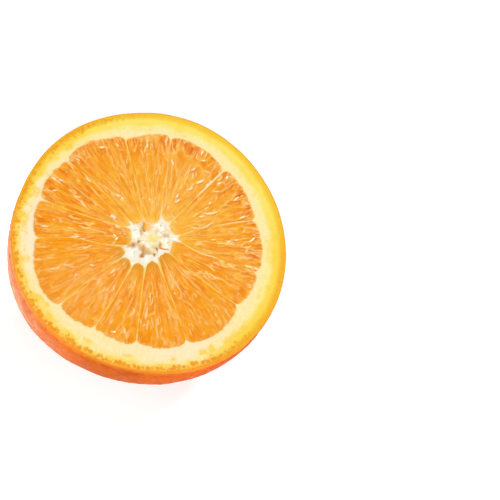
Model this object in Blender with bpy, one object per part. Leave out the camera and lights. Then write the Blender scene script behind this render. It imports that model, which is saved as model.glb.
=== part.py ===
"""Half of a cut orange, lying on its round skin with the cut face up.

One solid: a slightly oblate fruit, cut a little above its widest girth, with a
small flat spot under it to rest on. The cut face carries the shallow relief of
the real one: a flat ring of rind, segments that sink a little between their
thin walls, and a star-shaped pith core with a few hollows.

Units: millimetres in the tables below, metres in the mesh. +Z is up, the
origin is under the middle of the fruit, on the surface that it rests on.
"""

import math

import bmesh
import bpy

MM = 0.001

# ---------------------------------------------------------------- sizes (mm)
CUT_RADIUS = 39.7  # mean radius of the cut face
CUT_ABOVE_GIRTH = 4.9  # the cut passes this far above the widest girth
OBLATENESS = 0.97  # half height of the whole fruit over its girth radius
REST_RADIUS = 6.5  # the flat spot under the fruit
FOOT_INSET = 1.0
RIM_ROUNDING = 0.35  # the skin's cut edge is rolled over by this much

# The fruit isn't quite round: (waves round the rim, cosine part, sine part),
# as shares of the radius.
RIM_WAVES = ((2, -0.0101, -0.0008), (3, 0.0082, -0.0004), (4, 0.0012, -0.0051))
# The skin's slow swells: (waves round, waves from rim to foot, height, phase).
SKIN_SWELLS = ((2, 1, 0.35, 0.6), (3, 2, 0.25, 2.1), (5, 2, 0.14, 4.0))

# One row for each segment, going round anticlockwise as seen from above. The
# first three numbers are the bearing in degrees of the wall that opens the
# segment: at the rind, half way in, and at the core. Then the flesh's outer
# radius at the segment's start, middle and end, and its inner radius.
SEGMENTS = (
    (-1.5, -3.0, -4.0, 31.0, 31.7, 32.0, 6.0),
    (20.5, 21.7, 32.0, 32.1, 32.5, 31.9, 8.0),
    (50.3, 51.5, 48.0, 31.9, 32.4, 32.6, 6.6),
    (83.0, 82.2, 82.0, 32.4, 33.3, 33.6, 7.2),
    (115.3, 113.0, 107.0, 33.2, 32.9, 31.8, 5.2),
    (140.0, 141.5, 146.0, 32.4, 33.2, 34.1, 6.3),
    (173.5, 173.2, 180.0, 33.2, 33.6, 33.7, 7.6),
    (199.2, 199.7, 196.0, 33.4, 33.8, 33.3, 6.3),
    (220.2, 222.0, 235.0, 33.4, 35.2, 34.7, 9.4),
    (254.5, 252.8, 252.0, 34.0, 33.8, 32.8, 9.8),
    (275.0, 274.0, 270.8, 32.8, 32.8, 32.2, 8.6),
    (296.8, 295.3, 291.8, 32.2, 32.6, 32.1, 6.9),
    (323.0, 323.2, 318.5, 32.5, 32.8, 31.5, 5.6),
)
WALL_STRAIGHT_FROM = 20.0  # outside this radius a wall runs almost straight
WALL_CORE_RADIUS = 7.5  # where the bearing at the core applies
WALL_HALF = 0.30  # half the thickness of a segment's wall
FLESH_SINK = 0.50  # how far the flesh lies under the cut plane beside a wall
FLESH_CROWN = 0.22  # the middle of a segment swells up again by this much
WALL_SINK = 0.12
CORE_SINK = 0.30
HOLLOW_DEPTH = 1.3  # the core's torn hollows
# bearing in degrees, distance from the axis, radius
CORE_HOLLOWS = ((248.0, 5.6, 1.7), (196.0, 4.6, 1.1), (306.0, 4.9, 1.3), (104.0, 4.4, 0.9))

# ------------------------------------------------------------- mesh fineness
ACROSS = (0.10, 0.30, 0.50, 0.70, 0.90)  # columns over a segment's flesh
RINGS_IN_FLESH = 6
SKIN_ROWS = 19


def smooth(t):
    t = min(1.0, max(0.0, t))
    return t * t * (3.0 - 2.0 * t)


def rim_radius(bearing):
    """The cut face's outer radius at a bearing in radians."""
    share = 1.0 + sum(
        c * math.cos(n * bearing) + s * math.sin(n * bearing) for n, c, s in RIM_WAVES
    )
    return CUT_RADIUS * share


def wall_bearing(index, radius):
    """The bearing, in radians, of the wall that opens a segment, at a radius."""
    turns, row = divmod(index, len(SEGMENTS))
    at_rind, half_way, at_core = SEGMENTS[row][:3]
    outer = smooth((radius - WALL_STRAIGHT_FROM) / (32.0 - WALL_STRAIGHT_FROM))
    inner = (WALL_STRAIGHT_FROM - radius) / (WALL_STRAIGHT_FROM - WALL_CORE_RADIUS)
    inner = min(1.0, max(0.0, inner)) ** 2.2
    degrees = half_way + (at_rind - half_way) * outer + (at_core - half_way) * inner
    return math.radians(degrees + 360.0 * turns)


def flesh_outer(row, across):
    """The flesh's outer radius in a segment, across 0 at its start and 1 at its end."""
    start, middle, end = SEGMENTS[row][3:6]
    bow = 4.0 * across * (1.0 - across)
    return start + (end - start) * across + (middle - (start + end) / 2.0) * bow


def face_height(radius, bearing, crown):
    """The cut face's relief, as a height over the cut plane.

    crown is None on the rind, the walls and the core. In a segment's flesh it
    runs from 0 beside a wall to 1 in the middle.
    """
    if crown is not None:
        return FLESH_CROWN * crown - FLESH_SINK
    depth = WALL_SINK * smooth((31.5 - radius) / 5.0)
    if radius < 9.5:
        depth += (CORE_SINK - WALL_SINK) * smooth((9.5 - radius) / 2.0)
    x, y = radius * math.cos(bearing), radius * math.sin(bearing)
    for degrees, out, size in CORE_HOLLOWS:
        a = math.radians(degrees)
        away = math.hypot(x - out * math.cos(a), y - out * math.sin(a))
        depth += HOLLOW_DEPTH * smooth(1.0 - away / (1.6 * size))
    return -depth


def columns():
    """The spokes of the cut face's grid: (segment, share across it), None on a wall."""
    for row in range(len(SEGMENTS)):
        yield row, None
        yield row, 0.0
        for share in ACROSS:
            yield row, share
        yield row, 1.0


def spoke_bearing(row, share, radius):
    """The bearing of a spoke: on a wall's middle, at its face, or across the flesh."""
    here, after = wall_bearing(row, radius), wall_bearing(row + 1, radius)
    if share is None:
        return here
    half = min(WALL_HALF / max(radius, 1.0), 0.2 * (after - here))
    return here + half + (after - here - 2.0 * half) * share


def spoke_radii(row, share):
    """The radii of a spoke's points, from the core out to the flesh's edge."""
    inner = SEGMENTS[row][6]
    if share is None:
        before = SEGMENTS[row - 1]
        inner = (inner + before[6]) / 2.0 + 0.6
        outer = (flesh_outer(row, 0.0) + before[5]) / 2.0 - 1.2
    else:
        corner = (abs(share - 0.5) * 2.0) ** 6  # the flesh's ends are rounded
        inner += 1.1 * corner
        outer = flesh_outer(row, share) - 0.9 * corner
    radii = [2.2, 4.6, inner - 0.35]
    for step in range(RINGS_IN_FLESH):
        radii.append(inner + 0.25 + (outer - inner - 0.5) * step / (RINGS_IN_FLESH - 1))
    radii.append(outer + 0.35)
    return radii


def skin_point(bearing, share):
    """A point of the skin: share 0 at the cut's edge and 1 at the flat spot's."""
    girth = math.hypot(CUT_RADIUS, CUT_ABOVE_GIRTH / OBLATENESS)
    top = math.asin(CUT_ABOVE_GIRTH / (OBLATENESS * girth))
    low = -math.acos(REST_RADIUS / girth)
    angle = top + (low - top) * share
    round_share = rim_radius(bearing) / CUT_RADIUS
    fade = smooth((1.0 - share) / 0.35)  # the flat spot stays a circle
    radius = girth * math.cos(angle) * (1.0 + (round_share - 1.0) * fade)
    swell = sum(
        height * math.sin(n * bearing + phase) * math.sin(m * math.pi * share)
        for n, m, height, phase in SKIN_SWELLS
    )
    radius += swell * math.cos(angle)
    height = OBLATENESS * girth * (math.sin(angle) - math.sin(low))
    return radius * math.cos(bearing), radius * math.sin(bearing), height


def cut_height():
    return skin_point(0.0, 0.0)[2]


def build_points():
    """Rings of points from the middle of the cut face, over the rim, to the foot."""
    spokes = list(columns())
    top = cut_height()
    rings = []
    radii = [spoke_radii(row, share) for row, share in spokes]
    for step in range(len(radii[0])):
        ring = []
        for (row, share), along in zip(spokes, radii):
            radius = along[step]
            bearing = spoke_bearing(row, share, radius)
            crown = None
            if share not in (None, 0.0, 1.0) and 3 <= step < 3 + RINGS_IN_FLESH:
                along_flesh = (step - 3) / (RINGS_IN_FLESH - 1)
                crown = 4.0 * share * (1.0 - share) * math.sin(math.pi * along_flesh)
            height = top + face_height(radius, bearing, crown)
            ring.append((radius * math.cos(bearing), radius * math.sin(bearing), height))
        rings.append(ring)
    for inset in (2.6, RIM_ROUNDING):
        ring = []
        for row, share in spokes:
            bearing = spoke_bearing(row, share, CUT_RADIUS)
            radius = rim_radius(bearing) - inset
            ring.append((radius * math.cos(bearing), radius * math.sin(bearing), top))
        rings.append(ring)
    for step in range(SKIN_ROWS + 1):
        share = max(step / SKIN_ROWS, RIM_ROUNDING / 70.0)
        ring = []
        for row, part in spokes:
            ring.append(skin_point(spoke_bearing(row, part, CUT_RADIUS), share))
        rings.append(ring)
    return rings


def centred(rings):
    """Moves the points so that their box's middle is over the origin."""
    across = [p[0] for ring in rings for p in ring]
    along = [p[1] for ring in rings for p in ring]
    dx = (min(across) + max(across)) / 2.0
    dy = (min(along) + max(along)) / 2.0
    return [[(x - dx, y - dy, z) for x, y, z in ring] for ring in rings], (dx, dy)


def make_material():
    material = bpy.data.materials.new("orange_flesh_and_skin")
    material.use_nodes = True
    shader = material.node_tree.nodes["Principled BSDF"]
    shader.inputs["Base Color"].default_value = (1.0, 0.40, 0.04, 1.0)
    shader.inputs["Roughness"].default_value = 0.38
    shader.inputs["Metallic"].default_value = 0.0
    return material


def main():
    for old in list(bpy.data.objects):
        bpy.data.objects.remove(old)

    rings, (dx, dy) = centred(build_points())
    mesh = bmesh.new()
    verts = [[mesh.verts.new([c * MM for c in p]) for p in ring] for ring in rings]
    middle_height = cut_height() - CORE_SINK
    middle = mesh.verts.new((-dx * MM, -dy * MM, middle_height * MM))

    around = len(verts[0])
    for k in range(around):
        after = (k + 1) % around
        mesh.faces.new((middle, verts[0][k], verts[0][after]))
    for inner, outer in zip(verts, verts[1:]):
        for k in range(around):
            after = (k + 1) % around
            mesh.faces.new((inner[k], outer[k], outer[after], inner[after]))
    foot = mesh.faces.new(tuple(reversed(verts[-1])))  # the flat spot it rests on
    bmesh.ops.inset_region(mesh, faces=[foot], thickness=FOOT_INSET * MM)
    bmesh.ops.recalc_face_normals(mesh, faces=mesh.faces)

    data = bpy.data.meshes.new("orange_half")
    mesh.to_mesh(data)
    mesh.free()
    data.shade_smooth()
    data.set_sharp_from_angle(angle=math.radians(40.0))
    data.materials.append(make_material())
    half = bpy.data.objects.new("orange_half", data)
    bpy.context.scene.collection.objects.link(half)


main()
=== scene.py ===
"""The looks of an orange half that lies on its skin with the cut face up.

The skin, the pith (the rind's white inside, the segments' walls and the core)
and the juicy flesh of each segment are separate closed meshes, all computed
here. Lengths are millimetres until a mesh is made, which is in metres.
"""

import math

import bpy
import numpy as np
from mathutils import Matrix, Vector, kdtree


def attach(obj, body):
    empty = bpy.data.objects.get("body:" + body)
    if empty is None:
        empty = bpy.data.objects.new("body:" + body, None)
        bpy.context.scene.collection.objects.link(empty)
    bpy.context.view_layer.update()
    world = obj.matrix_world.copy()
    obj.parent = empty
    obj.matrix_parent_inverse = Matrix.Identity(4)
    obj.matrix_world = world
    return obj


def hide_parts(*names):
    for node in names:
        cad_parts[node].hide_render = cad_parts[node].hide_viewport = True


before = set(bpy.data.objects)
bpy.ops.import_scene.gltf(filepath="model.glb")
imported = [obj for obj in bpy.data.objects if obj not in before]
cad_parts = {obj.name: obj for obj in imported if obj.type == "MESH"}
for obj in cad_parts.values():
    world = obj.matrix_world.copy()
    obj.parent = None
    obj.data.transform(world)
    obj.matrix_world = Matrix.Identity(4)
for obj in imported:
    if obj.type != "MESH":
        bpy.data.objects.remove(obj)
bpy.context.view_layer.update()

MM = 0.001

# ------------------------------------------------- sizes shared with the CAD
CUT_RADIUS = 39.7
CUT_ABOVE_GIRTH = 4.9
OBLATENESS = 0.97
REST_RADIUS = 6.5
RIM_WAVES = ((2, -0.0101, -0.0008), (3, 0.0082, -0.0004), (4, 0.0012, -0.0051))
SKIN_SWELLS = ((2, 1, 0.35, 0.6), (3, 2, 0.25, 2.1), (5, 2, 0.14, 4.0))

GIRTH = math.hypot(CUT_RADIUS, CUT_ABOVE_GIRTH / OBLATENESS)
TOP_ANGLE = math.asin(CUT_ABOVE_GIRTH / (OBLATENESS * GIRTH))
LOW_ANGLE = -math.acos(REST_RADIUS / GIRTH)
CUT_Z = OBLATENESS * GIRTH * (math.sin(TOP_ANGLE) - math.sin(LOW_ANGLE))

# ------------------------------------------------------------- the segments
# The bearing in degrees of each segment's opening wall at these radii, then
# the flesh's outer radius at four places across it, and its inner radius.
WALL_RADII = (32.0, 20.0, 12.0, 7.5)
SEGMENTS = (
    ((-1.7, -3.6, -4.6, -5.0), (30.8, 31.3, 31.7, 31.4), 5.8),
    ((20.1, 21.4, 23.2, 31.5), (31.7, 32.3, 32.0, 31.2), 7.8),
    ((50.4, 51.4, 50.7, 46.5), (31.6, 32.1, 32.4, 32.3), 6.3),
    ((82.8, 82.5, 81.8, 80.5), (32.0, 33.0, 33.5, 33.1), 7.0),
    ((115.4, 113.5, 111.4, 106.3), (32.8, 33.0, 32.0, 31.7), 4.9),
    ((140.0, 141.0, 142.5, 147.0), (32.2, 33.1, 33.8, 33.2), 6.1),
    ((173.6, 172.6, 175.4, 180.7), (33.0, 33.5, 33.7, 33.0), 7.7),
    ((199.3, 200.1, 198.6, 195.4), (33.0, 33.7, 33.5, 33.0), 6.2),
    ((220.0, 221.2, 230.0, 237.5), (33.2, 34.4, 35.2, 34.4), 9.2),
    ((255.4, 253.2, 252.5, 252.0), (33.6, 33.8, 33.2, 32.5), 9.8),
    ((275.0, 275.1, 272.9, 270.2), (32.5, 32.3, 32.4, 31.8), 8.6),
    ((297.0, 295.6, 293.2, 291.6), (31.8, 32.2, 32.6, 31.8), 7.0),
    ((322.9, 322.5, 320.4, 318.0), (32.0, 32.75, 32.3, 30.7), 5.4),
)
COUNT = len(SEGMENTS)
# How much wider each segment's opening wall gets on its way in to the core.
WALL_ROOTS = (0.12, 0.08, 0.06, 0.08, 0.08, 0.06, 0.08, 0.10, 0.18, 0.26, 0.40, 0.42, 0.30)
# How bright the membrane round each segment's tip is.
TIP_LIPS = (0.5, 0.35, 0.3, 0.3, 0.3, 0.3, 0.35, 0.4, 0.55, 0.8, 0.9, 0.95, 1.0)
SKIN_THICK = 0.32
DISC_THICK = 2.5  # the pith lies this deep in the skin's body
LIGHT = 1.22  # how strongly the studio lights the cut face, as a share of white

# ----------------------------------------------------------------- helpers


def smooth(t):
    t = np.clip(t, 0.0, 1.0)
    return t * t * (3.0 - 2.0 * t)


def mix(a, b, t):
    """Blends numbers, or colours given as rows of three."""
    t = np.asarray(t, float)
    a, b = np.asarray(a, float), np.asarray(b, float)
    if a.shape[-1:] == (3,) or b.shape[-1:] == (3,):
        t = t[..., None]
    return a + (b - a) * t


def rgb(*c):
    """Linear colour that looks like these 0 to 255 screen numbers in the studio's light."""
    c = np.array(c, float) / 255.0
    return np.where(c <= 0.04045, c / 12.92, ((c + 0.055) / 1.055) ** 2.4) / LIGHT


def lattice(seed):
    return np.random.RandomState(seed).rand(64, 64)


LATTICES = {}


def noise(x, y, seed=0):
    """Smooth noise from 0 to 1, one swell to each unit of x and y."""
    if seed not in LATTICES:
        LATTICES[seed] = lattice(seed)
    table = LATTICES[seed]
    xi, yi = np.floor(x).astype(int), np.floor(y).astype(int)
    fx, fy = smooth(x - xi), smooth(y - yi)
    a = table[xi % 64, yi % 64]
    b = table[(xi + 1) % 64, yi % 64]
    c = table[xi % 64, (yi + 1) % 64]
    d = table[(xi + 1) % 64, (yi + 1) % 64]
    return (a + (b - a) * fx) * (1 - fy) + (c + (d - c) * fx) * fy


def fbm(x, y, seed=0, octaves=3):
    total, weight, out = 0.0, 1.0, 0.0
    for k in range(octaves):
        out = out + weight * noise(x * 2.03**k + 7.1 * k, y * 2.03**k + 3.7 * k, seed + k)
        total += weight
        weight *= 0.5
    return out / total


def keyed(degrees, keys):
    """Reads a value that changes smoothly round the fruit from (bearing, value) pairs."""
    degrees = np.mod(degrees, 360.0)
    at = [k[0] for k in keys]
    values = [k[1] for k in keys]
    at = [at[-1] - 360.0] + at + [at[0] + 360.0]
    values = [values[-1]] + values + [values[0]]
    at, values = np.array(at), np.array(values, float)
    j = np.clip(np.searchsorted(at, degrees, side="right") - 1, 0, len(at) - 2)
    t = smooth((degrees - at[j]) / (at[j + 1] - at[j]))
    return values[j] + (values[j + 1] - values[j]) * t


# Small dents and bulges of the cut's edge, and of the skin a little below it,
# in millimetres at these bearings.
RIM_TRIM = (
    (0, 0.05), (10, 0.22), (28, 0.18), (50, 0.02), (70, -0.15), (85, 0.0), (104, 0.20), (118, 0.0),
    (134, -0.42), (146, -0.38), (160, -0.16), (176, -0.02), (200, -0.14), (222, 0.0), (330, 0.0),
)
BULGES = ((0, 0.0), (180, 0.0), (205, -0.50), (218, -0.60), (232, -0.10), (262, -0.12), (276, 0.10), (291, 0.62), (303, 0.72), (313, 0.65), (325, 0.25), (338, -0.15))


def rim_radius(bearing, trim=1.0):
    share = 1.0
    for n, c, s in RIM_WAVES:
        share = share + c * np.cos(n * bearing) + s * np.sin(n * bearing)
    return CUT_RADIUS * share + trim * keyed(np.degrees(bearing), RIM_TRIM)


def skin_surface(bearing, angle, trim=1.0):
    """A point of the skin. angle is 0 at the girth and negative below it."""
    share = np.clip((angle - TOP_ANGLE) / (LOW_ANGLE - TOP_ANGLE), 0.0, 1.0)
    round_share = rim_radius(bearing, trim) / CUT_RADIUS
    fade = smooth((1.0 - share) / 0.35)
    radius = GIRTH * np.cos(angle) * (1.0 + (round_share - 1.0) * fade)
    bulge = np.sin(math.pi * np.clip(share / 0.78, 0.0, 1.0))
    radius = radius + trim * keyed(np.degrees(bearing), BULGES) * bulge
    for n, m, height, phase in SKIN_SWELLS:
        swell = height * np.sin(n * bearing + phase) * np.sin(m * math.pi * share)
        radius = radius + swell * np.cos(angle)
    z = OBLATENESS * GIRTH * (np.sin(angle) - math.sin(LOW_ANGLE))
    return radius * np.cos(bearing), radius * np.sin(bearing), np.maximum(z, 0.0)


def outline_middle():
    """How far the CAD moved the outline's middle to its origin."""
    bearing = np.linspace(0.0, 2.0 * math.pi, 3600)[None, :]
    angle = np.linspace(LOW_ANGLE, TOP_ANGLE, 300)[:, None]
    x, y, _ = skin_surface(bearing, angle, 0.0)
    return (x.min() + x.max()) / 2.0, (y.min() + y.max()) / 2.0


SHIFT_X, SHIFT_Y = outline_middle()


def wall_bearing(index, radius):
    """The bearing, in radians, of the wall that opens a segment, at each radius."""
    turns, row = divmod(index, COUNT)
    at = np.array(WALL_RADII[::-1])
    values = np.array(SEGMENTS[row][0][::-1])
    slopes = np.gradient(values, at)
    r = np.clip(radius, at[0] - 1.5, at[-1])
    j = np.clip(np.searchsorted(at, r, side="right") - 1, 0, len(at) - 2)
    span = at[j + 1] - at[j]
    t = (r - at[j]) / span
    h00, h10 = (1 + 2 * t) * (1 - t) ** 2, t * (1 - t) ** 2
    h01, h11 = t * t * (3 - 2 * t), t * t * (t - 1)
    value = (
        h00 * values[j]
        + h10 * span * slopes[j]
        + h01 * values[j + 1]
        + h11 * span * slopes[j + 1]
    )
    return np.radians(value + 360.0 * turns)


def outer_edge(row, u):
    """The radius of a segment's outer end, across it from u 0 to 1, its corners rounded."""
    knots = np.array([0.0, 1 / 3, 2 / 3, 1.0])
    values = np.array(SEGMENTS[row][1])
    fit = np.polyfit(knots, values, 3)
    x = np.abs(2.0 * u - 1.0)
    corner = 0.75 * np.clip((x - 0.86) / 0.14, 0.0, 1.0) ** 2.2
    wobble = 0.44 * (fbm(u * 6.0 + 3.1 * row, 0.0 * u + row, 11, 2) - 0.5)
    arc = math.radians(SEGMENTS[(row + 1) % COUNT][0][0] - SEGMENTS[row][0][0]) % (2.0 * math.pi) * 33.0
    wobble = wobble + 0.55 * (fbm(u * arc / 0.9 + 5.7 * row, 0.0 * u + 3.0, 14, 2) - 0.5)
    return np.polyval(fit, u) - corner + wobble * (1.0 - x**6)


def inner_edge(row, u):
    """The radius of a segment's tip, round like the end of a finger."""
    x = np.abs(2.0 * u - 1.0)
    depth = (0.07 + 0.07 * TIP_LIPS[row]) * SEGMENTS[row][2] + 0.30 + 0.15 * TIP_LIPS[row]
    wobble = 0.9 * (fbm(u * 3.2 + 4.3 * row, 0.0 * u + row, 17, 3) - 0.5) * (1.0 - x**4)
    return SEGMENTS[row][2] + wobble + depth * (1.0 - np.sqrt(np.clip(1.0 - 0.97 * x * x, 0.0, 1.0)))


def wall_half(row, radius):
    """Half the width that shows of the wall that opens a segment."""
    row = row % COUNT
    wide = 0.11 + 0.13 * fbm(radius / 3.1 + 5.0 * row, 0.0 * radius + 0.7 * row, 13, 2)
    wide = wide + 0.12 * smooth((radius - 30.0) / 2.5)
    if row == 3:
        wide = wide + 0.13 * smooth((radius - 16.0) / 6.0)
    return wide + WALL_ROOTS[row] * smooth((15.0 - radius) / 9.0)


def make_mesh(name, points, quads, tris, colours=None, extras=None, sharp=60.0):
    """A mesh object in metres from points in millimetres, shaded smooth up to an angle."""
    points = np.asarray(points, float)
    moved = (points - np.array([SHIFT_X, SHIFT_Y, 0.0])) * MM
    mesh = bpy.data.meshes.new(name)
    quads = np.asarray(quads, int).reshape(-1, 4)
    tris = np.asarray(tris, int).reshape(-1, 3)
    loops = np.concatenate([quads.ravel(), tris.ravel()])
    sizes = np.concatenate([np.full(len(quads), 4), np.full(len(tris), 3)])
    starts = np.concatenate([[0], np.cumsum(sizes)[:-1]])
    mesh.vertices.add(len(moved))
    mesh.vertices.foreach_set("co", moved.astype(np.float32).ravel())
    mesh.loops.add(len(loops))
    mesh.loops.foreach_set("vertex_index", loops.astype(np.int32))
    mesh.polygons.add(len(sizes))
    mesh.polygons.foreach_set("loop_start", starts.astype(np.int32))
    mesh.polygons.foreach_set("loop_total", sizes.astype(np.int32))
    mesh.update(calc_edges=True)
    mesh.validate(clean_customdata=False)
    if colours is not None:
        layer = mesh.color_attributes.new("tint", "FLOAT_COLOR", "POINT")
        rgba = np.ones((len(moved), 4), np.float32)
        rgba[:, :3] = np.clip(colours, 0.0, 1.0)
        layer.data.foreach_set("color", rgba.ravel())
    for label, values in (extras or {}).items():
        layer = mesh.attributes.new(label, "FLOAT", "POINT")
        layer.data.foreach_set("value", np.asarray(values, np.float32))
    mesh.shade_smooth()
    mesh.set_sharp_from_angle(angle=math.radians(sharp))
    piece = bpy.data.objects.new(name, mesh)
    bpy.context.scene.collection.objects.link(piece)
    return piece


def grid_quads(rows, columns, wrap, start=0, flip=False):
    """Quads between neighbouring rows of a grid that is stored row by row."""
    i = np.arange(rows - 1)[:, None]
    j = np.arange(columns if wrap else columns - 1)[None, :]
    after = (j + 1) % columns
    a = start + i * columns + j
    b = start + i * columns + after
    c = start + (i + 1) * columns + after
    d = start + (i + 1) * columns + j
    quads = np.stack([a + 0 * b, d + 0 * b, c + 0 * a, b + 0 * a], axis=-1).reshape(-1, 4)
    return quads[:, ::-1] if flip else quads


# ------------------------------------------------------------- node helpers


class Nodes:
    """A short way to write a material's nodes."""

    def __init__(self, name):
        self.material = bpy.data.materials.new(name)
        self.material.use_nodes = True
        self.tree = self.material.node_tree
        self.shader = self.tree.nodes["Principled BSDF"]
        self.output = self.tree.nodes["Material Output"]

    def add(self, kind, **values):
        node = self.tree.nodes.new(kind)
        for key, value in values.items():
            setattr(node, key, value)
        return node

    def put(self, socket, value):
        if isinstance(value, bpy.types.NodeSocket):
            self.tree.links.new(value, socket)
        else:
            socket.default_value = value

    def attribute(self, name, output="Color"):
        return self.add("ShaderNodeAttribute", attribute_name=name).outputs[output]

    def position(self):
        return self.add("ShaderNodeTexCoord").outputs["Object"]

    def noise(self, scale, detail=3.0, vector=None, roughness=0.55, output="Fac"):
        node = self.add("ShaderNodeTexNoise")
        self.put(node.inputs["Vector"], vector or self.position())
        node.inputs["Scale"].default_value = scale
        node.inputs["Detail"].default_value = detail
        node.inputs["Roughness"].default_value = roughness
        return node.outputs[output]

    def voronoi(self, scale, vector=None, feature="F1", output="Distance", randomness=1.0):
        node = self.add("ShaderNodeTexVoronoi", feature=feature)
        self.put(node.inputs["Vector"], vector or self.position())
        node.inputs["Scale"].default_value = scale
        node.inputs["Randomness"].default_value = randomness
        return node.outputs[output]

    def math(self, operation, a, b=0.5, c=None, clamp=False):
        node = self.add("ShaderNodeMath", operation=operation, use_clamp=clamp)
        self.put(node.inputs[0], a)
        self.put(node.inputs[1], b)
        if c is not None:
            self.put(node.inputs[2], c)
        return node.outputs[0]

    def ramp(self, value, low, high, to_low=0.0, to_high=1.0, steps=None):
        node = self.add("ShaderNodeMapRange", clamp=True)
        if steps:
            node.interpolation_type = steps
        self.put(node.inputs["Value"], value)
        for key, number in (
            ("From Min", low),
            ("From Max", high),
            ("To Min", to_low),
            ("To Max", to_high),
        ):
            node.inputs[key].default_value = number
        return node.outputs["Result"]

    def blend(self, a, b, factor, mode="MIX"):
        node = self.add("ShaderNodeMix", data_type="RGBA", blend_type=mode)
        self.put(node.inputs["Factor"], factor)
        for socket, value in ((node.inputs[6], a), (node.inputs[7], b)):
            if not isinstance(value, bpy.types.NodeSocket):
                value = (*value, 1.0)
            self.put(socket, value)
        return node.outputs[2]

    def bump(self, height, strength, distance_mm, normal=None):
        node = self.add("ShaderNodeBump")
        node.inputs["Strength"].default_value = strength
        node.inputs["Distance"].default_value = distance_mm * MM
        self.put(node.inputs["Height"], height)
        if normal is not None:
            self.put(node.inputs["Normal"], normal)
        return node.outputs["Normal"]

    def set(self, **values):
        for key, value in values.items():
            self.put(self.shader.inputs[key.replace("_", " ")], value)


# --------------------------------------------------------------- the skin

SKIN_GRID = 296  # squares along each side of the sheet that wraps the skin


# Where a pale sheen is painted on the skin, where painted light and shade make it brighter or darker, and where its cut
# edge is yellower.
PAINTED_SHEEN_KEYS = ((0, 0.0), (165, 0.0), (190, 0.22), (206, 0.52), (220, 0.78), (231, 0.80), (242, 0.72), (252, 0.50), (262, 0.26), (274, 0.07), (284, 0.0), (300, 0.0))
PAINTED_LIGHT_KEYS = ((0, 1.0), (180, 1.0), (268, 0.98), (284, 0.82), (298, 0.82), (309, 0.98), (330, 1.20), (345, 1.22), (358, 1.0))
EDGE_KEYS = ((0, 0.0), (300, 0.0), (318, 0.7), (345, 1.0), (358, 0.2))


def skin_colour(x, y, z, pits):
    deep, bright, ruddy = rgb(226, 90, 0), rgb(240, 114, 0), rgb(204, 64, 0)
    round_it = np.arctan2(y, x)
    swell = fbm(x / 10.0 + z / 14.0 + 20.0, y / 10.0 - z / 12.0 + 20.0, 31, 3)
    mottle = fbm(x / 2.1 + z / 3.0 + 40.0, y / 2.1 - z / 2.6 + 40.0, 35, 3)
    colour = mix(deep, bright, smooth((swell - 0.35) / 0.35) * 0.7)
    colour = mix(colour, ruddy, smooth((mottle - 0.5) / 0.3) * 0.5)
    near_cut = smooth((z - CUT_Z + 2.6) / 2.6)
    degrees = np.degrees(round_it)
    roundness = keyed(degrees, ROUND_KEYS)
    band = mix(rgb(252, 178, 30), rgb(254, 154, 26), roundness)
    colour = mix(colour, mix(band, rgb(254, 180, 44), keyed(degrees, EDGE_KEYS)), 0.85 * near_cut)
    # Painted shade: the skin turns darker and redder towards the bottom.
    colour = mix(colour, ruddy, 0.55 * smooth((CUT_Z - 6.0 - z) / 16.0))
    # Painted light and shade: the skin's colour is scaled brighter or darker by bearing.
    colour = colour * keyed(degrees, PAINTED_LIGHT_KEYS)[..., None]
    # Painted sheen: a pale, pinkish haze painted on the skin's left flank, mottled, with the pits left darker in it,
    # standing in for a reflection of the bright surroundings.
    painted_sheen = keyed(degrees, PAINTED_SHEEN_KEYS) * smooth((z - CUT_Z + 26.0) / 11.0) * (1.0 - 0.65 * smooth((z - CUT_Z + 6.5) / 5.0))
    facing = np.cos(round_it) ** 2
    sheen_mottle = mix(fbm(x / 1.5 + 50.0, z / 1.2 + 50.0, 38, 3), fbm(y / 1.5 + 20.0, z / 1.2 + 20.0, 39, 3), facing)
    colour = mix(colour, rgb(254, 200, 156), np.clip(painted_sheen * (0.70 + 0.45 * smooth((sheen_mottle - 0.38) / 0.24)), 0, 1))
    return mix(colour, rgb(214, 80, 6), (0.32 + 0.25 * painted_sheen) * pits)


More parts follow.
